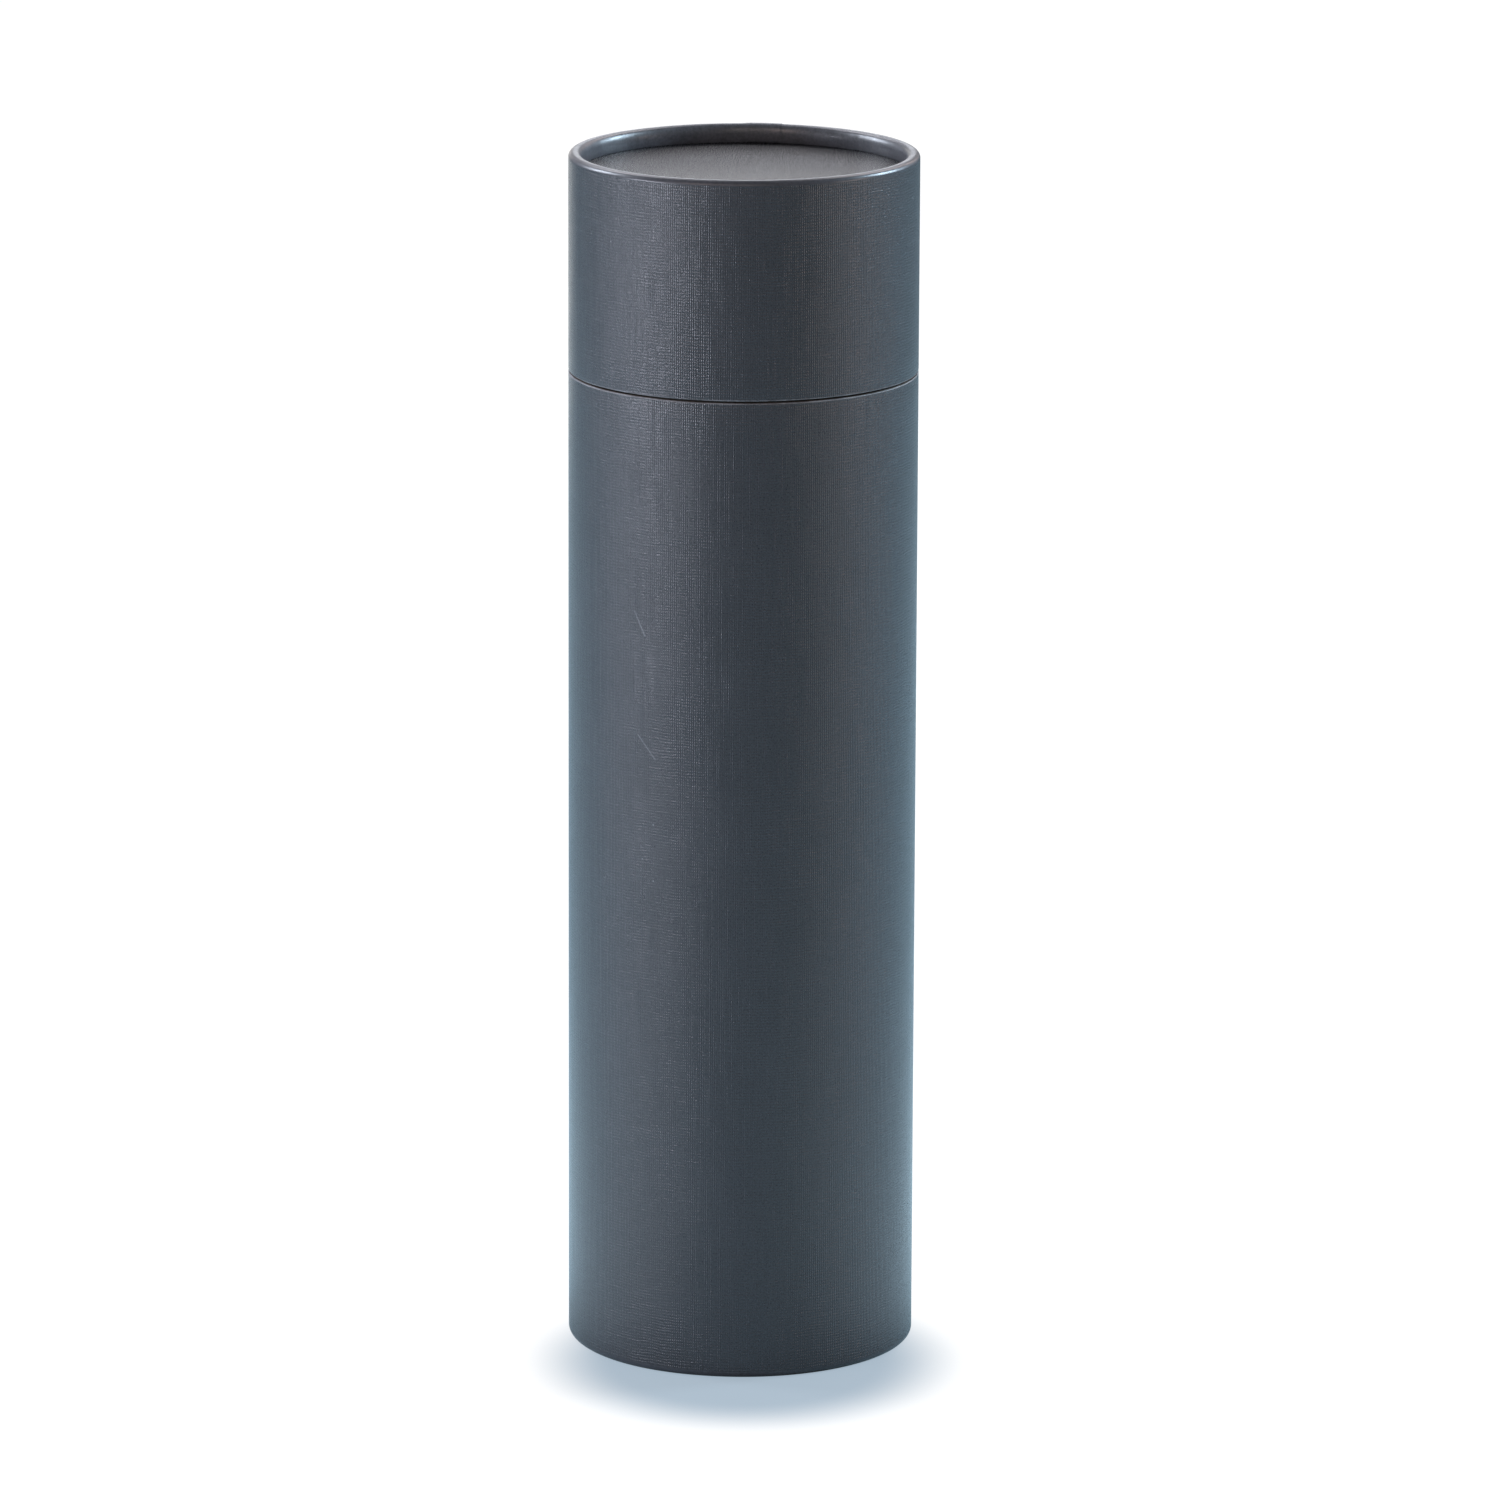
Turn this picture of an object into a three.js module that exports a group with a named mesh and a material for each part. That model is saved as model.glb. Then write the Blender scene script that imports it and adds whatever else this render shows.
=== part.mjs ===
import * as THREE from 'three';

// Paper packaging tube: a wound board tube with a lift-off lid on a neck.
// Millimetres. The origin is the centre of the base on the surface it stands on, +Z runs up the tube.

// Tube and lid
const outerDiameter = 90;
const board = 1.5;
const bodyHeight = 256.7;
const seam = 0.5;
const lidHeight = 56.3;

// Inner sleeve, whose top is the neck that the lid slides over
const sleeveBoard = 1.25;
const slideClearance = 0.25;
const neckHeadroom = 20;
const neckLeadInDepth = 0.6;
const neckLeadInHeight = 1.2;

// Curled rims
const foldSlit = 0.2;
const lidRecess = 4.8;
const lidOuterRound = 1.4;
const lidCurlWidth = 1.5;
const baseRecess = 4.8;
const baseOuterRound = 1.8;
const baseCurlWidth = 0.9;
const curlDepth = 3;

// End discs
const lidDiscBoard = 2;
const baseDiscBoard = 2;
const discClearance = 0.3;

// Fits and edges
const seatGap = 0.3;
const cutEdgeBevel = 0.3;
const largestRoundShare = 0.85;
const largestBevelShare = 0.3;

// Smoothness of the turned shapes
const facetsRound = 96;
const cornerSteps = 3;

// Sizes that follow
const outerRadius = outerDiameter / 2;
const boreRadius = outerRadius - board;
const rimWidth = 2 * board + foldSlit;
const rimBoreRadius = outerRadius - rimWidth;
const neckRadius = boreRadius - slideClearance;
const discRadius = boreRadius - discClearance;
const sleeveBoreRadius = neckRadius - sleeveBoard;
const baseDiscTop = baseRecess + baseDiscBoard;
const lidFoot = bodyHeight + seam;

// The lid disc's faces, above the lid's foot
const lidDiscTop = lidHeight - lidRecess;
const lidDiscUnderside = lidDiscTop - lidDiscBoard;

// The neck's edge, above the base
const neckTop = lidFoot + lidDiscUnderside - neckHeadroom;

// Papers
const linenPaper = { color: 0x3c434b, roughness: 0.62, metalness: 0 };
const neckPaper = { color: 0x221e1d, roughness: 0.8, metalness: 0 };

// A turned piece: a closed outline of radius and height, spun about the tube's axis.
function turn(name, outline, paper) {
  const geometry = new THREE.LatheGeometry(outline, facetsRound);
  geometry.rotateX(Math.PI / 2);
  const piece = new THREE.Mesh(geometry, new THREE.MeshStandardMaterial(paper));
  piece.name = name;
  return piece;
}

// The bevel that softens the corners of a cut board edge.
function bevelOf(thickness) {
  return Math.min(cutEdgeBevel, largestBevelShare * thickness);
}

// An outline with every height measured down from the given level, so that its top becomes its foot.
function turnedOver(outline, level) {
  return outline.map((point) => new THREE.Vector2(point.x, level - point.y)).reverse();
}

// The board tube of the lid or the body, standing on its cut edge, with its rim on top.
// The rim is the wall itself, folded inward and back down, and its leg stops on the end disc.
// The leg is a long curl: it is fattest at the curl's depth, and turns back a little below that.
function curledTube(height, recess, outerRound, curlWidth) {
  const roundScale = Math.min(1, (largestRoundShare * rimWidth) / (outerRound + curlWidth));
  const outer = outerRound * roundScale;
  const curl = curlWidth * roundScale;
  const bevel = bevelOf(board);
  const legLength = recess - seatGap;
  const legEnd = height - legLength;
  const crease = height - board;
  const turnBack = Math.asin(Math.min(1, (legLength - curlDepth) / curlDepth));

  const section = new THREE.Path();
  section.moveTo(outerRadius, bevel);
  section.lineTo(outerRadius, height - outer);
  section.absarc(outerRadius - outer, height - outer, outer, 0, Math.PI / 2, false);
  section.lineTo(rimBoreRadius + curl, height);
  section.absellipse(
    rimBoreRadius + curl,
    height - curlDepth,
    curl,
    curlDepth,
    Math.PI / 2,
    Math.PI + turnBack,
    false,
  );
  section.lineTo(boreRadius - foldSlit, legEnd);
  section.lineTo(boreRadius - foldSlit, crease - foldSlit);
  section.lineTo(boreRadius - foldSlit / 2, crease);
  section.lineTo(boreRadius, crease - foldSlit);
  section.lineTo(boreRadius, bevel);
  section.lineTo(boreRadius + bevel, 0);
  section.lineTo(outerRadius - bevel, 0);
  section.lineTo(outerRadius, bevel);
  return section.getPoints(cornerSteps);
}

// A flat disc that closes an end, from its lower face to its upper one.
function endDisc(lower, upper) {
  const bevel = bevelOf(upper - lower);
  const section = new THREE.Path();
  section.moveTo(0, lower);
  section.lineTo(discRadius - bevel, lower);
  section.lineTo(discRadius, lower + bevel);
  section.lineTo(discRadius, upper - bevel);
  section.lineTo(discRadius - bevel, upper);
  section.lineTo(0, upper);
  return section.getPoints();
}

// The inner sleeve stands on the base disc, lines the body and rises above it as the neck.
function innerSleeve() {
  const foot = baseDiscTop + seatGap;
  const bevel = bevelOf(sleeveBoard);
  const leadIn = Math.min(neckLeadInDepth, sleeveBoard - 2 * bevel);
  const section = new THREE.Path();
  section.moveTo(sleeveBoreRadius, foot);
  section.lineTo(neckRadius, foot);
  section.lineTo(neckRadius, neckTop - neckLeadInHeight);
  section.lineTo(neckRadius - leadIn, neckTop);
  section.lineTo(sleeveBoreRadius + bevel, neckTop);
  section.lineTo(sleeveBoreRadius, neckTop - bevel);
  section.lineTo(sleeveBoreRadius, foot);
  return section.getPoints();
}

const bodyShell = turn(
  'body_shell',
  turnedOver(curledTube(bodyHeight, baseRecess, baseOuterRound, baseCurlWidth), bodyHeight),
  linenPaper,
);
const baseDisc = turn('base_disc', endDisc(baseRecess, baseDiscTop), linenPaper);
const neckSleeve = turn('neck_sleeve', innerSleeve(), neckPaper);

// The lid's pieces share a group, placed at the lid's foot.
const lidShell = turn(
  'lid_shell',
  curledTube(lidHeight, lidRecess, lidOuterRound, lidCurlWidth),
  linenPaper,
);
const lidDisc = turn('lid_disc', endDisc(lidDiscUnderside, lidDiscTop), linenPaper);
const lid = new THREE.Group();
lid.add(lidShell, lidDisc);
lid.position.z = lidFoot;

const tube = new THREE.Group();
tube.add(bodyShell, baseDisc, neckSleeve, lid);

export default tube;
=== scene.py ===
import math
import random

import bmesh
import bpy
import numpy as np
from mathutils import Matrix, Vector


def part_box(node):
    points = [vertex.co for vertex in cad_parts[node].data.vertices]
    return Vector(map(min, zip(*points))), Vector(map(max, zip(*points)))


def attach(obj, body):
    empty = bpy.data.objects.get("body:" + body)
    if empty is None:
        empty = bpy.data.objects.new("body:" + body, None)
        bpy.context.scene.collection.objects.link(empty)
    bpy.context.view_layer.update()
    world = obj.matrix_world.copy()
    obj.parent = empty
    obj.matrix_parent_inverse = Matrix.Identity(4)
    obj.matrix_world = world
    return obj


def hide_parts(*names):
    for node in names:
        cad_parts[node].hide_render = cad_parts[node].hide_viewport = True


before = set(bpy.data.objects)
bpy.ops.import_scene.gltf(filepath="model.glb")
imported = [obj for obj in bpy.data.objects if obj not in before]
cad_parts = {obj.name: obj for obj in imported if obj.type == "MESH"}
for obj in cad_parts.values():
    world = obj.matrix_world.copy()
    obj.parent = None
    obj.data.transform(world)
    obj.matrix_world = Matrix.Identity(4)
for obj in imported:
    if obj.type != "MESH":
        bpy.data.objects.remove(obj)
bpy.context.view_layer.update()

# Paper packaging tube: a wound board tube in dark linen-embossed paper, with a lift-off lid.
# Metres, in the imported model's frame. The tube stands on the origin and +Z runs up its axis.

MM = 0.001

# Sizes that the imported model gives
body_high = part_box("body_shell")[1]
lid_low, lid_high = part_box("lid_shell")
lid_disc_low, lid_disc_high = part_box("lid_disc")
base_disc_low, base_disc_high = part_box("base_disc")
neck_low, neck_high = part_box("neck_sleeve")
OUTER_RADIUS = body_high.x
NECK_RADIUS = neck_high.x
DISC_RADIUS = lid_disc_high.x
TUBE_HEIGHT = lid_high.z

# Board and rims
BOARD = 1.5 * MM
SLEEVE_BOARD = 1.25 * MM
FOLD_SLIT = 0.2 * MM
CREST_FLAT = 0.3 * MM
LID_ROUND = 1.4 * MM
LID_CURL_WIDTH = 1.8 * MM
BASE_ROUND = 1.8 * MM
BASE_CURL_WIDTH = 0.9 * MM
CURL_DEPTH = 3 * MM
CURL_FULLNESS = 2.5
LEG_TO_DISC = 0.06 * MM
CUT_ROUND = 0.3 * MM
NECK_LEAD_IN = (0.6 * MM, 1.2 * MM)
DISC_EDGE_ROUND = 0.35 * MM
DISC_DISH = 0.25 * MM

# Wrapping paper
PAPER = 0.14 * MM
OVERLAP = 11 * MM
OVERLAP_FADE = 3 * MM
LID_OVERLAP_ANGLE = math.radians(77.3)
BODY_OVERLAP_ANGLE = math.radians(104)
WARP_PITCH = 0.577 * MM
WEFT_PITCH = 0.77 * MM
DISC_LINEN_TURN = math.radians(-13)

# How much the curl's ripples show on the crest and at the end of the leg
CREST_PLEAT = 0.1
LEG_PLEAT = 0.5

# Fineness of the turned meshes
AROUND = 600
ARC_STEPS = 9
CURL_STEPS = 16
WALL_ROW = 6 * MM
DISC_RINGS = 14
SLEEVE_ROWS = 24
LEAD_IN_ROWS = 3
SMOOTH_UNDER = math.radians(35)

# The UV map that holds the paper laid out flat
SHEET = "sheet"

# Finishes of a turned piece, in the order of its material slots
WRAP, CUT, LINER, WORN_HIGHLIT, PRESSED, STRETCHED, FLAT_SHADED_LINEN = range(7)


# Outlines: lists of (radius, height, finish, pleat) that a turn about the axis makes solid.
# A point's finish covers the strip up to the next point, and pleat is its share of the curl's ripples.

def straight(start, end, steps, finish):
    """Points from start up to, but not including, end."""
    return [
        (
            start[0] + (end[0] - start[0]) * step / steps,
            start[1] + (end[1] - start[1]) * step / steps,
            finish,
            0.0,
        )
        for step in range(steps)
    ]


def rounded(centre, radii, first, last, finish, pleats=(0.0, 0.0), steps=ARC_STEPS, fullness=2.0):
    """Points on an arc from the angle first to last, in degrees, both included.

    The arc is an ellipse's at a fullness of 2, and squarer above it."""
    points = []
    for step in range(steps + 1):
        share = step / steps
        angle = math.radians(first + (last - first) * share)
        pleat = pleats[0] + (pleats[1] - pleats[0]) * share
        out = squared_off(math.cos(angle), fullness)
        up = squared_off(math.sin(angle), fullness)
        points.append((centre[0] + radii[0] * out, centre[1] + radii[1] * up, finish, pleat))
    return points


def squared_off(value, fullness):
    """A sine or cosine, changed so that its circle is squarer above a fullness of 2."""
    return math.copysign(abs(value) ** (2 / fullness), value)


def curled_wall(height, outer, curl_width, leg):
    """The board tube on its cut edge at height 0, with its rim folded inward at the top.

    The outer round has the radius outer, and the folded leg reaches down by leg. The leg is a long curl:
    it is fattest at CURL_DEPTH, and turns back a little below that."""
    bore = OUTER_RADIUS - BOARD
    leg_outside = bore - FOLD_SLIT
    crest = OUTER_RADIUS - outer
    crease = height - BOARD
    wall_rows = round(height / WALL_ROW)
    turn_back = math.degrees(math.asin(((leg - CURL_DEPTH) / CURL_DEPTH) ** (CURL_FULLNESS / 2)))
    cut = (CUT_ROUND, CUT_ROUND)
    outline = rounded((OUTER_RADIUS - CUT_ROUND, CUT_ROUND), cut, -90, 0, WORN_HIGHLIT)[:-1]
    outline += straight((OUTER_RADIUS, CUT_ROUND), (OUTER_RADIUS, height - outer), wall_rows, WRAP)
    outline += rounded((crest, height - outer), (outer, outer), 0, 90, STRETCHED,
                       (0.0, CREST_PLEAT), 2 * ARC_STEPS)[:-1]
    outline += [(crest, height, PRESSED, CREST_PLEAT)]
    curl_middle = (min(leg_outside, crest - CREST_FLAT), height - CURL_DEPTH)
    outline += rounded(curl_middle, (curl_width, CURL_DEPTH), 90, 180 + turn_back, PRESSED,
                       (CREST_PLEAT, LEG_PLEAT), CURL_STEPS, CURL_FULLNESS)
    leg_end = outline.pop()
    outline += [
        (leg_end[0], height - leg, CUT, LEG_PLEAT),
        (leg_outside, height - leg, LINER, 0.0),
        (leg_outside, crease - FOLD_SLIT, LINER, 0.0),
        (bore - FOLD_SLIT / 2, crease, LINER, 0.0),
    ]
    outline += straight((bore, crease - FOLD_SLIT), (bore, CUT_ROUND), wall_rows, LINER)
    outline += [(bore, CUT_ROUND, CUT, 0.0), (bore + CUT_ROUND, 0.0, CUT, 0.0)]
    return outline


def end_disc(low, high, faces):
    """A disc from its lower face to its upper one, with soft edges."""
    lower_finish, upper_finish = faces
    edge = DISC_RADIUS - DISC_EDGE_ROUND
    rim = (DISC_EDGE_ROUND, DISC_EDGE_ROUND)
    outline = straight((0.0, low), (edge, low), DISC_RINGS, lower_finish)
    outline += rounded((edge, low + DISC_EDGE_ROUND), rim, -90, 0, CUT)
    outline += rounded((edge, high - DISC_EDGE_ROUND), rim, 0, 90, upper_finish)[:-1]
    outline += straight((edge, high), (0.0, high), DISC_RINGS, upper_finish)
    outline += [(0.0, high, upper_finish, 0.0)]
    return outline


def sleeve():
    """The inner sleeve, from its foot on the base disc to the neck's edge."""
    bore = NECK_RADIUS - SLEEVE_BOARD
    lead_in, lead_height = NECK_LEAD_IN
    low, high = neck_low.z, neck_high.z
    lead_in_foot = (NECK_RADIUS, high - lead_height)
    outline = straight((NECK_RADIUS, low), lead_in_foot, SLEEVE_ROWS, WRAP)
    outline += straight(lead_in_foot, (NECK_RADIUS - lead_in, high), LEAD_IN_ROWS, WRAP)
    outline += [(NECK_RADIUS - lead_in, high, CUT, 0.0)]
    outline += rounded((bore + CUT_ROUND, high - CUT_ROUND), (CUT_ROUND, CUT_ROUND), 90, 180, LINER)[:-1]
    outline += straight((bore, high - CUT_ROUND), (bore, low), SLEEVE_ROWS, LINER)
    outline += [(bore, low, CUT, 0.0)]
    return outline


def turned_over(outline, level):
    """The outline with its heights measured down from level.

    Its points run the other way then, so each strip's finish moves to the strip's other end."""
    flipped = [(radius, level - height, pleat) for radius, height, _, pleat in outline]
    finishes = [finish for _, _, finish, _ in outline]
    flipped.reverse()
    finishes = finishes[-2::-1] + finishes[-1:]
    return [(r, z, finish, pleat) for (r, z, pleat), finish in zip(flipped, finishes)]


def raised(outline, level):
    """The outline with level added to its heights."""
    return [(radius, height + level, finish, pleat) for radius, height, finish, pleat in outline]


# Relief: how far the surface stands off its outline, which is what hand winding and curling leave.
# Each kind of relief is a function of the angles round the tube and the outline's rows.

# Waves round the tube: how many, the fewest and the most turns of one, and its height
SLOW_WAVES = (7, 2, 9, 0.006 * MM)
PLEATS = (12, 40, 150, 0.014 * MM)
PLEAT_PATCHES = (4, 3, 11, 1.0)
WAVE_SLANT = 18
WAVE_HEIGHTS = (0.4, 1.0)
LID_SEED = 11
BODY_SEED = 23

# How strong the pleats are, from patch to patch
PATCH_MIDDLE = 0.5
PATCH_SWING = 0.4


def waves(seed, count, fewest, most, height):
    """Random sine waves round the tube, as (turns, slant, phase, height)."""
    draw = random.Random(seed)
    return [
        (
            draw.randint(fewest, most),
            draw.uniform(-WAVE_SLANT, WAVE_SLANT),
            draw.uniform(0, 2 * math.pi),
            height * draw.uniform(*WAVE_HEIGHTS),
        )
        for _ in range(count)
    ]


def wave_sum(found, angles, levels):
    """The height of all the waves together, at each angle and level."""
    total = np.zeros(np.broadcast(angles, levels).shape)
    for turns, slant, phase, height in found:
        total += height * np.sin(turns * angles + slant * levels + phase)
    return total


def overlap_step(arc):
    """The wrap's double thickness, from the glued edge of its overlap to where it fades out."""
    fade = np.clip((arc - (OVERLAP - OVERLAP_FADE)) / OVERLAP_FADE, 0, 1)
    return PAPER * (1 - fade * fade * (3 - 2 * fade)) * (arc > 0)


def relief_of(seed):
    """A function of the angles and the outline's rows that gives the relief of one curled wall."""
    slow = waves(seed, *SLOW_WAVES)
    pleats = waves(seed + 1, *PLEATS)
    patches = waves(seed + 2, *PLEAT_PATCHES)

    def relief(angles, rows):
        strength = np.clip(PATCH_MIDDLE + PATCH_SWING * wave_sum(patches, angles, 0.0), 0, 1)
        wrapped = (rows.finishes != LINER) * (rows.finishes != CUT)
        off = wave_sum(slow, angles, rows.heights)
        off = off + rows.pleats * strength * wave_sum(pleats, angles, 0.0)
        return off + wrapped * overlap_step(angles * OUTER_RADIUS)

    return relief


def dish(angles, rows):
    """A disc's middle sinks a little below its edge."""
    return -DISC_DISH * (1 - (rows.radii / DISC_RADIUS) ** 2) * (rows.finishes == FLAT_SHADED_LINEN)


def no_relief(angles, rows):
    """A surface that keeps to its outline."""
    return 0.0


# Turned meshes

# The overlap's edge rises between these two places along the arc
OVERLAP_RISE = (0.001 * MM, 0.05 * MM)
SHORTEST_STEP = 1e-12
ON_AXIS = 1e-9
JOINED_WITHIN = 1e-7


class Rows:
    """An outline's columns: the radius, height, finish and pleat of each of its points."""

    def __init__(self, outline):
        columns = [np.array(column) for column in zip(*outline)]
        self.radii, self.heights, self.finishes, self.pleats = columns
        self.count = len(self.radii)
        self.closed = self.radii[0] > 0

    def normals(self):
        """The outward directions at the points, for an outline that runs counter-clockwise."""
        if self.closed:
            along_r = np.roll(self.radii, -1) - np.roll(self.radii, 1)
            along_z = np.roll(self.heights, -1) - np.roll(self.heights, 1)
        else:
            along_r = np.gradient(self.radii)
            along_z = np.gradient(self.heights)
        length = np.maximum(np.hypot(along_r, along_z), SHORTEST_STEP)
        return along_z / length, -along_r / length

    def lengths(self):
        """How far each point lies along the outline."""
        steps = np.hypot(np.diff(self.radii), np.diff(self.heights))
        return np.concatenate([[0.0], np.cumsum(steps)])


def angle_list():
    """Angles round the tube from the overlap's edge, with the edge itself as a sharp step."""
    step = 2 * math.pi / AROUND
    rise = [place / OUTER_RADIUS for place in OVERLAP_RISE]
    return np.array(rise + [step * count for count in range(1, AROUND)])


def surface(rows, angles, start_angle, relief):
    """The turned surface's points: the whole outline at one angle, then at the next."""
    off = relief(angles[:, None], rows) * np.ones((len(angles), rows.count))
    normal_r, normal_z = rows.normals()
    ring = rows.radii + off * normal_r * (rows.radii > 0)
    level = np.maximum(rows.heights + off * normal_z, 0.0)
    turned = (angles + start_angle)[:, None]
    return np.stack([ring * np.cos(turned), ring * np.sin(turned), level], axis=2).reshape(-1, 3)


def faces_round(rows, angles):
    """The faces between the points, the finish of each, and their corners on the paper laid out flat."""
    strips = rows.count if rows.closed else rows.count - 1
    along = rows.lengths()
    arcs = angles * OUTER_RADIUS
    after = np.concatenate([arcs[1:], [2 * math.pi * OUTER_RADIUS]])
    faces = []
    finishes = []
    sheet = []
    for around in range(len(angles)):
        nearer = around * rows.count
        further = ((around + 1) % len(angles)) * rows.count
        start, end = arcs[around], after[around]
        for strip in range(strips):
            upper = (strip + 1) % rows.count
            faces.append((nearer + strip, further + strip, further + upper, nearer + upper))
            finishes.append(int(rows.finishes[strip]))
            here = along[strip]
            there = along[upper] if upper else here
            sheet += [(start, here), (end, here), (end, there), (start, there)]
    return faces, finishes, np.array(sheet, np.float32)


def laid_across(places, faces, linen_turn):
    """The faces' corners on a flat sheet that lies across the axis, turned by an angle."""
    corners = np.array(faces).ravel()
    x, y = places[corners, 0], places[corners, 1]
    cosine, sine = math.cos(linen_turn), math.sin(linen_turn)
    return np.stack([x * cosine + y * sine, y * cosine - x * sine], axis=1).astype(np.float32)


def join_poles(mesh):
    """Joins the points that a turned disc has on the axis."""
    work = bmesh.new()
    work.from_mesh(mesh)
    on_axis = [vert for vert in work.verts if vert.co.xy.length < ON_AXIS]
    bmesh.ops.remove_doubles(work, verts=on_axis, dist=JOINED_WITHIN)
    work.to_mesh(mesh)
    work.free()


def turn(name, outline, start_angle, relief, materials, linen_turn):
    """A piece turned about the axis from its outline, with its paper laid out flat as a UV map.

    Paper that lies across the axis has a linen_turn, which is the angle of its threads."""
    rows = Rows(outline)
    angles = angle_list()
    places = surface(rows, angles, start_angle, relief)
    faces, finishes, sheet = faces_round(rows, angles)
    if linen_turn is not None:
        sheet = laid_across(places, faces, linen_turn)

    mesh = bpy.data.meshes.new(name)
    mesh.from_pydata(places.tolist(), [], faces)
    mesh.polygons.foreach_set("material_index", finishes)
    layer = mesh.uv_layers.new(name=SHEET)
    layer.uv.foreach_set("vector", sheet.ravel())
    if not rows.closed:
        join_poles(mesh)
    mesh.polygons.foreach_set("use_smooth", [True] * len(mesh.polygons))
    mesh.set_sharp_from_angle(angle=SMOOTH_UNDER)
    for material in materials:
        mesh.materials.append(material)
    piece = bpy.data.objects.new(name, mesh)
    bpy.context.scene.collection.objects.link(piece)
    return piece


# Node helpers

# A Mix node has sockets for each kind of value, and these are the places of its colour ones
MIX_FIRST = 6
MIX_SECOND = 7
MIX_RESULT = 2


class Nodes:
    """A node tree: adds nodes, joins them and returns their output sockets."""

    def __init__(self, tree):
        self.tree = tree

    def add(self, kind, **settings):
        made = self.tree.nodes.new(kind)
        for key, value in settings.items():
            setattr(made, key, value)
        return made

    def join(self, value, socket):
        if isinstance(value, bpy.types.NodeSocket):
            self.tree.links.new(value, socket)
        else:
            socket.default_value = value

    def object_place(self):
        """The place of the shaded point on its object."""
        return self.add("ShaderNodeTexCoord").outputs["Object"]

    def math(self, operation, first, second=0.0, clamp=False):
        made = self.add("ShaderNodeMath", operation=operation, use_clamp=clamp)
        self.join(first, made.inputs[0])
        self.join(second, made.inputs[1])
        return made.outputs[0]

    def weighted(self, *terms):
        """The sum of sockets, each times its weight."""
        total = None
        for socket, weight in terms:
            term = self.math("MULTIPLY", socket, weight)
            total = term if total is None else self.math("ADD", total, term)
        return total

    def vector_math(self, operation, first, second=(0.0, 0.0, 0.0)):
        """The one number or vector that an operation on one or two vectors gives."""
        made = self.add("ShaderNodeVectorMath", operation=operation)
        self.join(first, made.inputs[0])
        self.join(second, made.inputs[1])
        one_number = operation in ("DOT_PRODUCT", "DISTANCE", "LENGTH")
        return made.outputs["Value" if one_number else "Vector"]

    def flat_vector(self, x, y):
        made = self.add("ShaderNodeCombineXYZ")
        self.join(x, made.inputs["X"])
        self.join(y, made.inputs["Y"])
        return made.outputs[0]

    def split(self, vector):
        """The x, y and z of a vector."""
        made = self.add("ShaderNodeSeparateXYZ")
        self.join(vector, made.inputs[0])
        return list(made.outputs)

    def noise(self, vector, scale, detail=2.0, roughness=0.5):
        made = self.add("ShaderNodeTexNoise")
        self.join(vector, made.inputs["Vector"])
        self.join(scale, made.inputs["Scale"])
        self.join(detail, made.inputs["Detail"])
        self.join(roughness, made.inputs["Roughness"])
        return made.outputs[0]

    def remap(self, value, low, high, to_low=0.0, to_high=1.0, interpolation="LINEAR"):
        made = self.add("ShaderNodeMapRange", interpolation_type=interpolation)
        self.join(value, made.inputs["Value"])
        for key, number in zip(("From Min", "From Max", "To Min", "To Max"), (low, high, to_low, to_high)):
            self.join(number, made.inputs[key])
        return made.outputs[0]

    def mix(self, share, first, second):
        made = self.add("ShaderNodeMix", data_type="RGBA")
        self.join(share, made.inputs[0])
        self.join(first, made.inputs[MIX_FIRST])
        self.join(second, made.inputs[MIX_SECOND])
        return made.outputs[MIX_RESULT]

    def bump(self, height, distance):
        made = self.add("ShaderNodeBump")
        self.join(distance, made.inputs["Distance"])
        self.join(height, made.inputs["Height"])
        return made.outputs[0]

    def light(self, kind, tint, strength=1.0):
        """An emission or a background shader."""
        made = self.add(kind)
        self.join(tint, made.inputs["Color"])
        self.join(strength, made.inputs["Strength"])
        return made.outputs[0]

    def matt(self, tint):
        made = self.add("ShaderNodeBsdfDiffuse")
        self.join(tint, made.inputs["Color"])
        return made.outputs[0]

    def both(self, first, second):
        """Two shaders added together."""
        made = self.add("ShaderNodeAddShader")
        self.join(first, made.inputs[0])
        self.join(second, made.inputs[1])
        return made.outputs[0]

    def for_camera(self, others, camera):
        """The second shader for what the camera sees, and the first one for all other rays."""
        made = self.add("ShaderNodeMixShader")
        self.join(self.add("ShaderNodeLightPath").outputs["Is Camera Ray"], made.inputs[0])
        self.join(others, made.inputs[1])
        self.join(camera, made.inputs[2])
        return made.outputs[0]


class Finish(Nodes):
    """One procedural material."""

    def __init__(self, name):
        self.material = bpy.data.materials.new(name)
        self.material.use_nodes = True
        super().__init__(self.material.node_tree)
        self.shader = self.tree.nodes["Principled BSDF"]

    def set(self, **values):
        for key, value in values.items():
            self.join(value, self.shader.inputs[key.replace("_", " ")])

    def replace_shader(self, surface_shader):
        """Puts a shader in place of the one that a new material has."""
        self.join(surface_shader, self.tree.nodes["Material Output"].inputs["Surface"])
        self.tree.nodes.remove(self.shader)


def colour(red, green, blue):
    """A colour given as it is seen on a screen, 0 to 255, as the linear colour that shaders take."""
    def linear(value):
        share = value / 255
        return share / 12.92 if share <= 0.04045 else ((share + 0.055) / 1.055) ** 2.4
    return (linear(red), linear(green), linear(blue), 1.0)


# Materials. A noise is given as its cells for each metre, its detail and its roughness.

NOISE_RANGE = (0.3, 0.7)
PAPER_SPECULAR = 0.5

# Linen: its deep and its rubbed colour, how deep it is embossed, and the range of its roughness
WALL_LINEN = (colour(32, 32, 36), colour(59, 60, 66), 0.038 * MM, (0.25, 0.37))
# The disc's copy of the linen is far darker than the wall's, though the paper is the same: painted shade
# on the disc inside the rim.
DISC_LINEN_PAINTED_SHADE = (colour(8, 8, 9), colour(40, 40, 45), 0.075 * MM, (0.21, 0.33))

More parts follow.
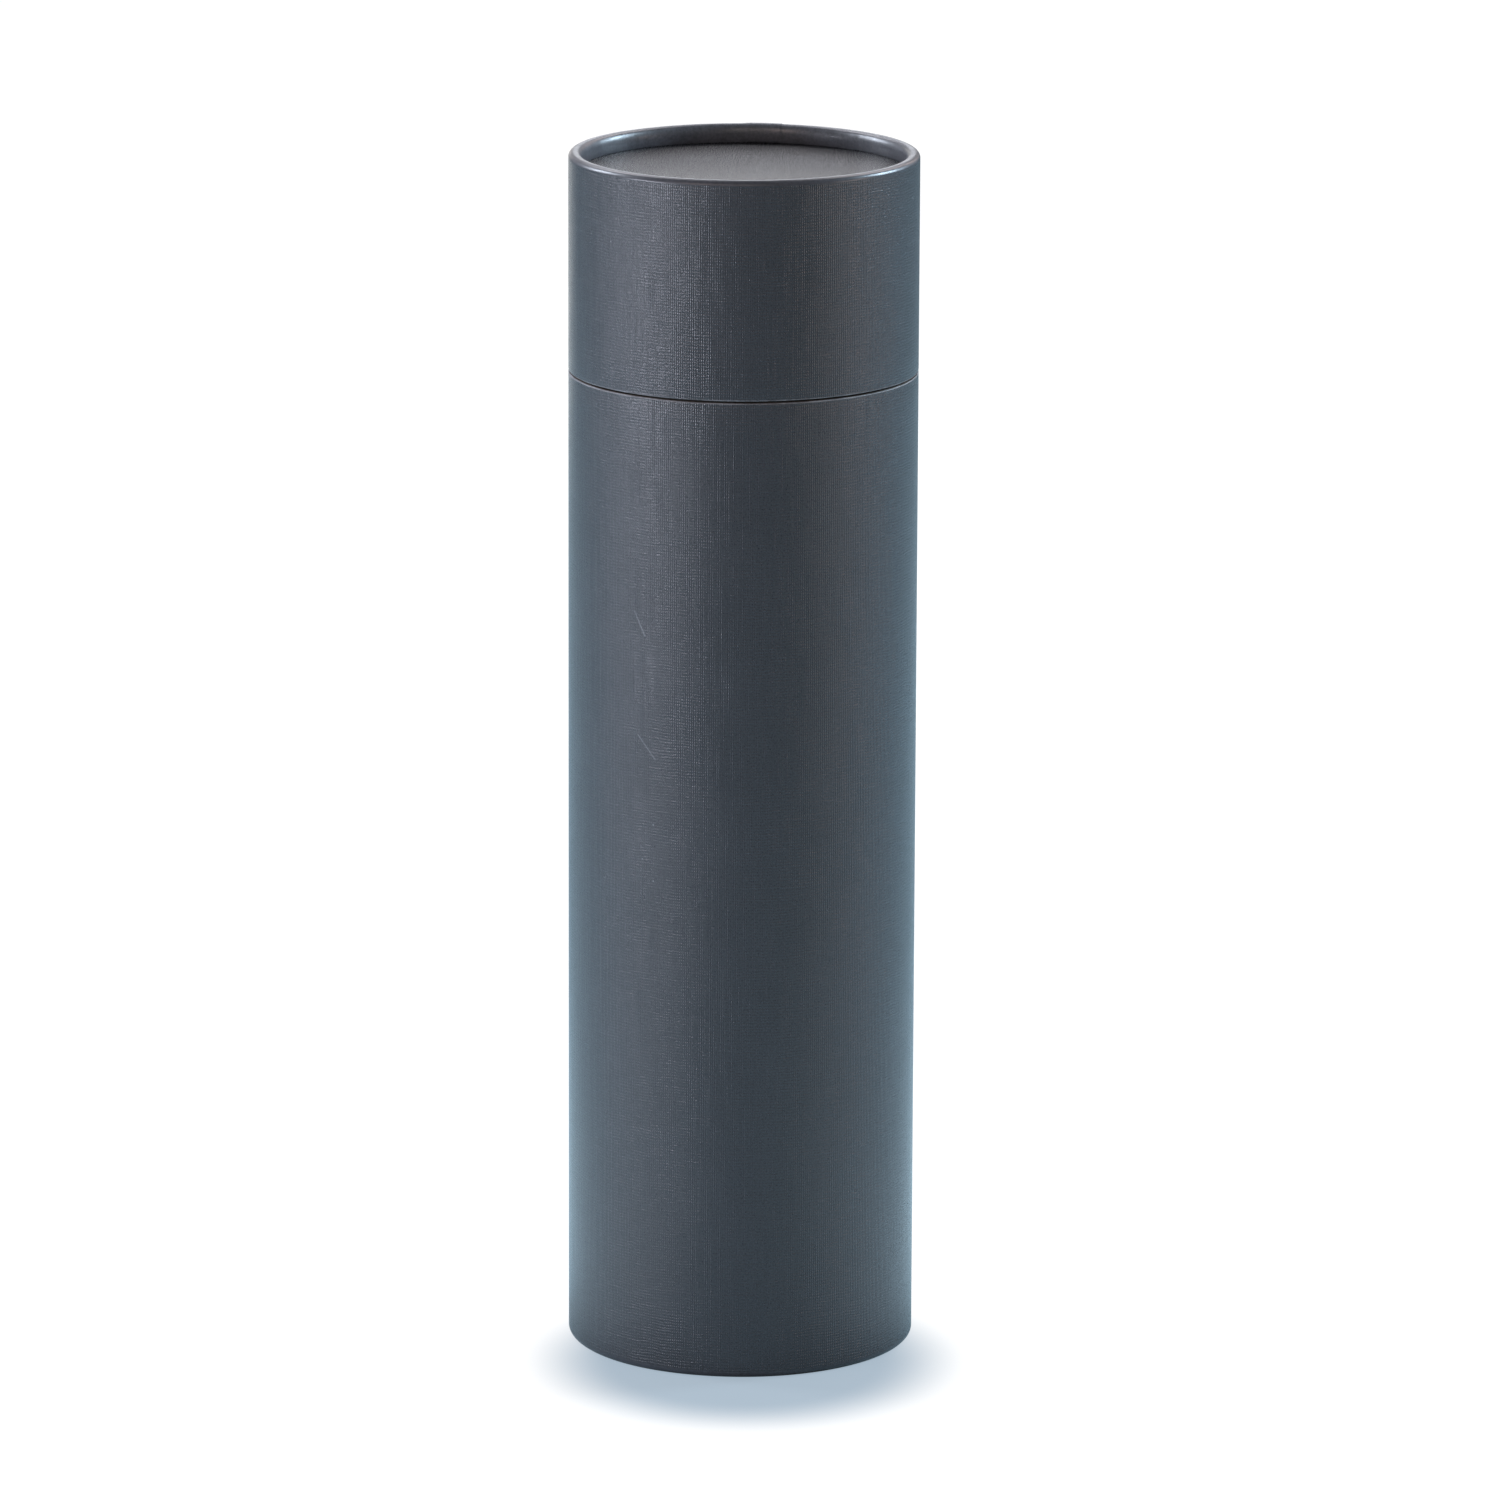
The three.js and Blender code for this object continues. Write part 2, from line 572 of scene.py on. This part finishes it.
# Noises of the linen, with cells for each millimetre, and what rubs its colour or lifts its surface
FIBRE_NOISE = (2.6, 2.0, 0.6)
GRAIN_NOISE = (2.2, 1.0, 0.6)
CLOUD_NOISE = (0.045, 3.0, 0.55)
GRAIN_RANGE = (0.36, 0.64)
WOVEN_RANGE = (0.4, 2.2)
GRAIN_RUB = 0.4
# The woven share lightens the thread tops and darkens the valleys between them: rubbed wear, and painted
# shade in the valleys.
WOVEN_RUB_AND_SHADE = 0.06
CLOUD_RUB = 0.1
WARP_SHARE = 1.7
WEFT_SHARE = 1.05
FIBRE_SHARE = 2.4
CROSSING_SHARE = 0.3

# Threads: the run in which one is thick and thin by turns, in mm, and how far it wanders, in pitches
WARP_RUN = 22.0
WARP_WANDER = 0.5
WEFT_RUN = 9.0
WEFT_WANDER = 1.4
DRIFT_PER_MM = 0.09
SLUBS_PER_THREAD = 0.8
SLUB_DETAIL = 3.0
SLUB_RANGE = (0.38, 0.66)
THREAD_STRENGTH = (0.45, 1.0)
STREAK_SHARE = 0.15

# Pale specks: how close their cells are, the share of cells that have one, and where its edge fades
SPECK = colour(176, 178, 180)
SPECK_CELLS_PER_MM = 0.3
SPECK_SHARE = 0.02
SPECK_RADII = (0.10, 0.18)
SPECK_STRENGTH = 0.6

# Hairline scuffs on the front, from end to end, as x and height
SCUFFS = (
    ((-27.5 * MM, 201.0 * MM), (-24.9 * MM, 195.0 * MM)),
    ((-26.5 * MM, 168.7 * MM), (-22.2 * MM, 163.0 * MM)),
)
SCUFF_EDGE = (0.05 * MM, 0.22 * MM)
SCUFF_STRENGTH = 0.16


def linen_paper(name, look):
    """Dark slate paper embossed with a fine, uneven linen: threads both ways, and a few pale specks."""
    deep, rubbed_colour, emboss, roughness = look
    paper = Finish(name)
    flat = paper.split(paper.add("ShaderNodeUVMap", uv_map=SHEET).outputs[0])
    across = paper.math("MULTIPLY", flat[0], 1 / MM)
    along = paper.math("MULTIPLY", flat[1], 1 / MM)
    in_mm = paper.flat_vector(across, along)

    warp, warp_wave = threads(paper, across, along, WARP_PITCH / MM, WARP_RUN, WARP_WANDER)
    weft, weft_wave = threads(paper, along, across, WEFT_PITCH / MM, WEFT_RUN, WEFT_WANDER)
    crossings = paper.math("MULTIPLY", warp_wave, weft_wave)
    fibre = paper.noise(in_mm, *FIBRE_NOISE)
    woven = paper.weighted((warp, WARP_SHARE), (weft, WEFT_SHARE), (crossings, CROSSING_SHARE))
    relief = paper.weighted((woven, 1.0), (fibre, FIBRE_SHARE))

    rub_and_valley_shade = paper.weighted(
        (paper.remap(paper.noise(in_mm, *CLOUD_NOISE), *NOISE_RANGE), CLOUD_RUB),
        (paper.remap(paper.noise(in_mm, *GRAIN_NOISE), *GRAIN_RANGE), GRAIN_RUB),
        # Thread tops rubbed lighter, and painted shade in the emboss valleys.
        (paper.remap(woven, *WOVEN_RANGE), WOVEN_RUB_AND_SHADE),
    )
    ground = paper.mix(rub_and_valley_shade, deep, rubbed_colour)
    marks = paper.math("MAXIMUM", specks(paper, in_mm), scuffs(paper))
    paper.set(
        Base_Color=paper.mix(marks, ground, SPECK),
        Roughness=paper.remap(fibre, *NOISE_RANGE, *roughness),
        Normal=paper.bump(relief, emboss),
        Specular_IOR_Level=PAPER_SPECULAR,
    )
    return paper.material


def threads(paper, across, along, pitch, run, wander):
    """Ridges side by side at the given pitch, each thick and thin by turns over a run, and their wave."""
    place = paper.math("DIVIDE", across, pitch)
    length = paper.math("DIVIDE", along, run)
    drift = paper.noise(paper.flat_vector(paper.math("MULTIPLY", across, DRIFT_PER_MM), length), 1.0)
    wandered = paper.math("ADD", place, paper.math("MULTIPLY", drift, wander))
    wave = paper.math("SINE", paper.math("MULTIPLY", wandered, 2 * math.pi))
    ridge = paper.remap(wave, -1.0, 1.0)
    by_thread = paper.flat_vector(paper.math("MULTIPLY", place, SLUBS_PER_THREAD), length)
    slub = paper.noise(by_thread, 1.0, SLUB_DETAIL)
    strength = paper.remap(slub, *SLUB_RANGE, *THREAD_STRENGTH)
    return paper.weighted((paper.math("MULTIPLY", ridge, strength), 1.0), (slub, STREAK_SHARE)), wave


def specks(paper, in_mm):
    """Where the sparse pale specks of the paper are, from 0 to 1."""
    cells = paper.add("ShaderNodeTexVoronoi", feature="F1")
    paper.join(in_mm, cells.inputs["Vector"])
    paper.join(SPECK_CELLS_PER_MM, cells.inputs["Scale"])
    reach = [radius * SPECK_CELLS_PER_MM for radius in SPECK_RADII]
    near = paper.remap(cells.outputs["Distance"], *reach, 1.0, 0.0)
    chosen = paper.add("ShaderNodeSeparateColor")
    paper.join(cells.outputs["Color"], chosen.inputs[0])
    rare = paper.math("GREATER_THAN", chosen.outputs[0], 1.0 - SPECK_SHARE)
    return paper.math("MULTIPLY", paper.math("MULTIPLY", near, rare), SPECK_STRENGTH)


def scuffs(paper):
    """Where the hairline scuffs on the body's front are, from 0 to 1."""
    x, y, z = paper.split(paper.object_place())
    front = paper.math("LESS_THAN", y, 0.0)
    flat = paper.flat_vector(x, z)
    found = 0.0
    for (start_x, start_z), (end_x, end_z) in SCUFFS:
        run = (end_x - start_x, end_z - start_z, 0.0)
        from_start = paper.vector_math("SUBTRACT", flat, (start_x, start_z, 0.0))
        along_run = paper.vector_math("DOT_PRODUCT", from_start, run)
        share = paper.math("DIVIDE", along_run, run[0] ** 2 + run[1] ** 2, clamp=True)
        nearest = paper.add("ShaderNodeVectorMath", operation="SCALE")
        paper.join(run, nearest.inputs[0])
        paper.join(share, nearest.inputs["Scale"])
        distance = paper.vector_math("DISTANCE", from_start, nearest.outputs[0])
        found = paper.math("ADD", found, paper.remap(distance, *SCUFF_EDGE, 1.0, 0.0))
    return paper.math("MULTIPLY", paper.math("MULTIPLY", found, front), SCUFF_STRENGTH, clamp=True)


# Smoothed paper
STRETCHED_TONES = (colour(42, 42, 47), colour(54, 54, 60))
STRETCHED_ROUGHNESS = (0.31, 0.38)
# The pressed tones are lighter than the linen's: a painted sheen on the crest and the curl.
PRESSED_TONES_WITH_SHEEN = (colour(54, 55, 60), colour(70, 71, 77))
PRESSED_ROUGHNESS = (0.28, 0.4)
SMOOTHED_FIBRE_NOISE = (1500.0, 2.0, 0.6)
SMOOTHED_PATCH_NOISE = (240.0, 3.0, 0.6)
SMOOTHED_FIBRE_SHARE = 0.7
SMOOTHED_PATCH_SHARE = 0.3
SMOOTHED_TONE_RANGE = (0.38, 0.62)
SMOOTHED_DEPTH = 0.02 * MM


def smoothed_paper(name, tones, roughness):
    """The same paper where the curling die has stretched it or pressed its linen flat."""
    paper = Finish(name)
    place = paper.object_place()
    fibre = paper.noise(place, *SMOOTHED_FIBRE_NOISE)
    patch = paper.noise(place, *SMOOTHED_PATCH_NOISE)
    tone = paper.weighted((fibre, SMOOTHED_FIBRE_SHARE), (patch, SMOOTHED_PATCH_SHARE))
    paper.set(
        Base_Color=paper.mix(paper.remap(tone, *SMOOTHED_TONE_RANGE), *tones),
        Roughness=paper.remap(patch, *NOISE_RANGE, *roughness),
        Normal=paper.bump(tone, SMOOTHED_DEPTH),
        Specular_IOR_Level=PAPER_SPECULAR,
    )
    return paper.material


# Worn edge, lit by a painted highlight
# Both tones are light: a painted highlight along the seam's lips, with rubbed patches and flecks lighter
# still.
WORN_AND_HIGHLIGHT_TONES = (colour(58, 57, 60), colour(118, 117, 120))
WORN_PATCH_NOISE = (160.0, 3.0, 0.6)
WORN_PATCH_RANGE = (0.35, 0.65)
WORN_PATCH_SHARE = 0.6
WORN_FLECK_NOISE = (1400.0, 2.0, 0.6)
WORN_FLECK_RANGE = (0.4, 0.7)
WORN_FLECK_SHARE = 0.4
WORN_ROUGHNESS = 0.6


def worn_highlit_edge():
    """The wrap's turned edge at the seam: handling has rubbed the colour off in places, and its light
    tones are a painted highlight on the seam's lips.
    """
    edge = Finish("worn_highlit_edge")
    place = edge.object_place()
    patch = edge.noise(place, *WORN_PATCH_NOISE)
    fleck = edge.noise(place, *WORN_FLECK_NOISE)
    patched = edge.remap(patch, *WORN_PATCH_RANGE, 0.0, WORN_PATCH_SHARE)
    flecked = edge.remap(fleck, *WORN_FLECK_RANGE, 0.0, WORN_FLECK_SHARE)
    edge.set(
        Base_Color=edge.mix(edge.math("ADD", patched, flecked, clamp=True), *WORN_AND_HIGHLIGHT_TONES),
        Roughness=WORN_ROUGHNESS,
        Specular_IOR_Level=PAPER_SPECULAR,
    )
    return edge.material


# Cut board
BOARD_TONES = (colour(70, 62, 56), colour(96, 87, 78))
BOARD_LAYER = 0.3 * MM
BOARD_LAYER_SHARE = 0.6
BOARD_FLUFF_NOISE = (2600.0, 3.0, 0.7)
BOARD_FLUFF_SHARE = 0.4
BOARD_DEPTH = 0.03 * MM
BOARD_ROUGHNESS = 0.92
BOARD_SPECULAR = 0.2


def cut_board():
    """The cut edge of wound board: thin grey-brown layers, a little furry."""
    edge = Finish("cut_board")
    place = edge.object_place()
    x, y, _ = edge.split(place)
    radius = edge.math("SQRT", edge.math("ADD", edge.math("MULTIPLY", x, x), edge.math("MULTIPLY", y, y)))
    layers = edge.math("SINE", edge.math("MULTIPLY", radius, 2 * math.pi / BOARD_LAYER))
    fluff = edge.noise(place, *BOARD_FLUFF_NOISE)
    layered = edge.remap(layers, -1.0, 1.0, 0.0, BOARD_LAYER_SHARE)
    furry = edge.remap(fluff, *NOISE_RANGE, 0.0, BOARD_FLUFF_SHARE)
    edge.set(
        Base_Color=edge.mix(edge.math("ADD", layered, furry), *BOARD_TONES),
        Normal=edge.bump(edge.math("ADD", layers, fluff), BOARD_DEPTH),
        Roughness=BOARD_ROUGHNESS,
        Specular_IOR_Level=BOARD_SPECULAR,
    )
    return edge.material


# Neck paper
NECK_TONES = (colour(33, 29, 28), colour(44, 40, 38))
NECK_TONE_RANGE = (0.7, 1.3)
NECK_FIBRE_NOISE = (900.0, 4.0, 0.65)
NECK_CLOUD_NOISE = (45.0, 2.0, 0.5)
NECK_ROUGHNESS = (0.62, 0.74)
NECK_DEPTH = 0.012 * MM
NECK_SPECULAR = 0.35


def neck_paper():
    """Smooth near-black lining paper with a faint fibre."""
    paper = Finish("neck_paper")
    place = paper.object_place()
    fibre = paper.noise(place, *NECK_FIBRE_NOISE)
    cloud = paper.noise(place, *NECK_CLOUD_NOISE)
    paper.set(
        Base_Color=paper.mix(paper.remap(paper.math("ADD", fibre, cloud), *NECK_TONE_RANGE), *NECK_TONES),
        Roughness=paper.remap(fibre, *NOISE_RANGE, *NECK_ROUGHNESS),
        Normal=paper.bump(fibre, NECK_DEPTH),
        Specular_IOR_Level=NECK_SPECULAR,
    )
    return paper.material


# The object

def make_pieces():
    """The five pieces, each in place of its plain solid and riding on its body."""
    linen = linen_paper("linen_paper", WALL_LINEN)
    board = cut_board()
    lining = neck_paper()
    stretched = smoothed_paper("stretched_paper", STRETCHED_TONES, STRETCHED_ROUGHNESS)
    # The pressed paper's lighter tone is a painted sheen.
    pressed = smoothed_paper("pressed_paper_painted_sheen", PRESSED_TONES_WITH_SHEEN, PRESSED_ROUGHNESS)
    # The disc's linen is the darker copy of the wall's: painted shade.
    disc_linen_painted_shade = linen_paper("disc_linen_painted_shade", DISC_LINEN_PAINTED_SHADE)
    papers = (linen, board, lining, worn_highlit_edge(), pressed, stretched, disc_linen_painted_shade)
    neck_papers = (lining, board, lining)
    lid_leg = TUBE_HEIGHT - lid_disc_high.z - LEG_TO_DISC
    base_leg = base_disc_low.z - LEG_TO_DISC
    lid_wall = curled_wall(TUBE_HEIGHT - lid_low.z, LID_ROUND, LID_CURL_WIDTH, lid_leg)
    body_wall = curled_wall(body_high.z, BASE_ROUND, BASE_CURL_WIDTH, base_leg)
    lid_face = end_disc(lid_disc_low.z, lid_disc_high.z, (LINER, FLAT_SHADED_LINEN))
    base_face = end_disc(base_disc_low.z, base_disc_high.z, (FLAT_SHADED_LINEN, LINER))
    pieces = (
        ("lid_wall", raised(lid_wall, lid_low.z), LID_OVERLAP_ANGLE, relief_of(LID_SEED),
         papers, None, "lid", "lid_shell", "linen_paper"),
        ("body_wall", turned_over(body_wall, body_high.z), BODY_OVERLAP_ANGLE, relief_of(BODY_SEED),
         papers, None, "body", "body_shell", "linen_paper"),
        ("lid_face", lid_face, 0.0, dish,
         papers, DISC_LINEN_TURN, "lid", "lid_disc", "linen_paper"),
        ("base_face", base_face, 0.0, no_relief,
         papers, DISC_LINEN_TURN, "body", "base_disc", "linen_paper"),
        ("neck", sleeve(), 0.0, no_relief,
         neck_papers, None, "body", "neck_sleeve", "neck_paper"),
    )
    for name, outline, start, relief, materials, linen_turn, body, node, slot in pieces:
        piece = turn(name, outline, start, relief, materials, linen_turn)
        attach(piece, body)
        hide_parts(node)


# The studio

WHITE = (1.0, 1.0, 1.0, 1.0)
FLOOR_SIZE = 12.0
FLOOR_TONE = (0.3, 0.42, 0.46, 1.0)

# A painted glow on the floor at the tube's two sides, which lights the tube though the floor is no lamp:
# where it rises sideways, and where it fades with distance
SIDE_GLOW = (0.5, 0.66, 0.76, 1.0)
SIDE_GLOW_RISE = (40 * MM, 85 * MM)
SIDE_GLOW_FADE = (180 * MM, 450 * MM)

# The painted shadow that the camera sees: an oval of dimmer glow, with its fade given in its own half
# sizes
SHADOW_TONE = (0.06, 0.06, 0.06, 1.0)
PAINTED_SHADOW_FILL = (0.355, 0.441, 0.523, 1.0)
SHADOW_MIDDLE = (1.3 * MM, -28 * MM, 0.0)
SHADOW_HALF_WIDTH = 43.5 * MM
SHADOW_HALF_DEPTH = 49 * MM
SHADOW_FADE = (0.78, 1.44)


def seen_floor(white, place):
    """What the camera sees: a painted shadow near the tube, an oval of dimmer glow over a faint real
    shading, and past that, plain white.
    """
    from_middle = white.vector_math("SUBTRACT", place, SHADOW_MIDDLE)
    in_ovals = white.vector_math("DIVIDE", from_middle, (SHADOW_HALF_WIDTH, SHADOW_HALF_DEPTH, 1.0))
    beyond = white.remap(white.vector_math("LENGTH", in_ovals), *SHADOW_FADE, interpolation="SMOOTHSTEP")
    # Painted shadow: inside the oval the glow is dimmer and bluer than the white beyond it.
    glow = white.light("ShaderNodeEmission", white.mix(beyond, PAINTED_SHADOW_FILL, WHITE))
    return white.both(white.matt(SHADOW_TONE), glow)


def lighting_floor(white, place):
    """What the floor gives the tube: bounced light all round, and most from a painted glow at its two
    sides.
    """
    x, _, _ = white.split(place)
    aside = white.remap(white.math("ABSOLUTE", x), *SIDE_GLOW_RISE)
    near = white.remap(white.vector_math("LENGTH", place), *SIDE_GLOW_FADE, 1.0, 0.0)
    # Painted light: the floor glows here for every ray except the camera's.
    glow = white.light("ShaderNodeEmission", SIDE_GLOW, white.math("MULTIPLY", aside, near))
    return white.both(white.matt(FLOOR_TONE), glow)


def studio_floor():
    """A white floor with a soft painted shadow under the tube."""
    mesh = bpy.data.meshes.new("studio_floor")
    half = FLOOR_SIZE / 2
    corners = [(-half, -half, 0), (half, -half, 0), (half, half, 0), (-half, half, 0)]
    mesh.from_pydata(corners, [], [(0, 1, 2, 3)])
    floor = bpy.data.objects.new("studio_floor", mesh)
    bpy.context.scene.collection.objects.link(floor)
    white = Finish("studio_white")
    place = white.object_place()
    white.replace_shader(white.for_camera(lighting_floor(white, place), seen_floor(white, place)))
    mesh.materials.append(white.material)


SURROUND_LIGHT = 0.38
SURROUND_TINT = (0.9, 0.95, 1.0, 1.0)


def studio_world():
    """White to the camera, and a plain pale surround to everything else."""
    world = bpy.data.worlds.new("studio")
    world.use_nodes = True
    sky = Nodes(world.node_tree)
    sky.tree.nodes.clear()
    surround = sky.light("ShaderNodeBackground", SURROUND_TINT, SURROUND_LIGHT)
    backdrop = sky.light("ShaderNodeBackground", WHITE)
    sky.join(sky.for_camera(surround, backdrop), sky.add("ShaderNodeOutputWorld").inputs["Surface"])
    bpy.context.scene.world = world


# Soft boxes: low and higher ones at both sides and behind, and a weak pair in front.
# Each is a name, the angle round the tube in degrees, a height, a width and length, watts and a tint.
# The angle is 0 behind the camera and 90 at its right. All boxes face the tube's middle.
LAMP_DISTANCE = 1.2
LAMP_AIM = 0.15
LAMPS = (
    ("left_low", -65, 0.25, (0.45, 0.25), 9.2, (0.94, 0.96, 1.1)),
    ("left_side", -111, 0.8, (0.3, 0.5), 16.0, (0.9, 0.98, 1.12)),
    ("front_left", -30, 0.8, (0.316, 0.6), 2.0, (1.2, 0.93, 0.87)),
    ("front_high", 0, 0.8, (0.316, 0.6), 1.1, (1.15, 0.97, 0.88)),
    ("right_low", 75, 0.25, (0.316, 0.35), 2.2, (1.2, 0.95, 0.85)),
    ("right_side", 109, 0.8, (0.3, 0.5), 20.0, (0.78, 1.01, 1.21)),
    ("behind_left_top", -150, 1.45, (0.643, 0.7), 10.5, (0.98, 0.97, 1.05)),
    ("behind_right_top", 150, 1.45, (0.643, 0.7), 7.5, (1.03, 0.97, 1.0)),
    ("behind_right", 150, 0.8, (0.316, 0.6), 1.0, (1.2, 0.93, 0.87)),
    ("behind_high", 180, 0.73, (0.316, 0.36), 0.82, (0.96, 0.98, 1.06)),
    ("behind_low_left", -165, 0.25, (0.316, 0.5), 0.75, (1.05, 1.0, 0.95)),
    ("behind_low", 180, 0.25, (0.316, 0.5), 0.8, (1.0, 1.0, 1.0)),
)


def studio_lamps():
    """The soft boxes, none of which the camera sees."""
    for name, azimuth, height, size, power, tint in LAMPS:
        light = bpy.data.lights.new(name, "AREA")
        light.shape = "RECTANGLE"
        light.size, light.size_y = size
        light.energy = power
        light.color = tint
        holder = bpy.data.objects.new(name, light)
        bpy.context.scene.collection.objects.link(holder)
        out_x = LAMP_DISTANCE * math.sin(math.radians(azimuth))
        out_y = -LAMP_DISTANCE * math.cos(math.radians(azimuth))
        holder.location = (out_x, out_y, height)
        towards = Vector((0, 0, LAMP_AIM)) - holder.location
        holder.rotation_mode = "QUATERNION"
        holder.rotation_quaternion = towards.to_track_quat("-Z", "Y")
        holder.visible_camera = False


# Camera, fitted to the photograph's outline of the tube
CAMERA_DISTANCE = 2.3911
CAMERA_HEIGHT = 0.7200
CAMERA_PAN = math.radians(0.049)
CAMERA_TILT = math.radians(13.264)
CAMERA_ROLL = math.radians(0.2205)
CAMERA_LENS = 227.39
CAMERA_SENSOR = 36.0
CAMERA_CLIP = (0.1, 60.0)


def photo_camera():
    """The photograph's viewpoint: in front, looking down on the tube through a long lens."""
    data = bpy.data.cameras.new("photo_camera")
    data.lens = CAMERA_LENS
    data.sensor_width = CAMERA_SENSOR
    data.clip_start, data.clip_end = CAMERA_CLIP
    camera = bpy.data.objects.new("photo_camera", data)
    bpy.context.scene.collection.objects.link(camera)
    forward = Vector((
        math.sin(CAMERA_PAN) * math.cos(CAMERA_TILT),
        math.cos(CAMERA_PAN) * math.cos(CAMERA_TILT),
        -math.sin(CAMERA_TILT),
    ))
    level = Vector((math.cos(CAMERA_PAN), -math.sin(CAMERA_PAN), 0))
    upward = level.cross(forward)
    right = math.cos(CAMERA_ROLL) * level + math.sin(CAMERA_ROLL) * upward
    upward = math.cos(CAMERA_ROLL) * upward - math.sin(CAMERA_ROLL) * level
    facing = Matrix((right, upward, -forward)).transposed().to_4x4()
    camera.matrix_world = Matrix.Translation((0, -CAMERA_DISTANCE, CAMERA_HEIGHT)) @ facing
    bpy.context.scene.camera = camera


photo_camera()
make_pieces()
studio_floor()
studio_world()
studio_lamps()
bpy.context.scene.view_settings.view_transform = "Standard"
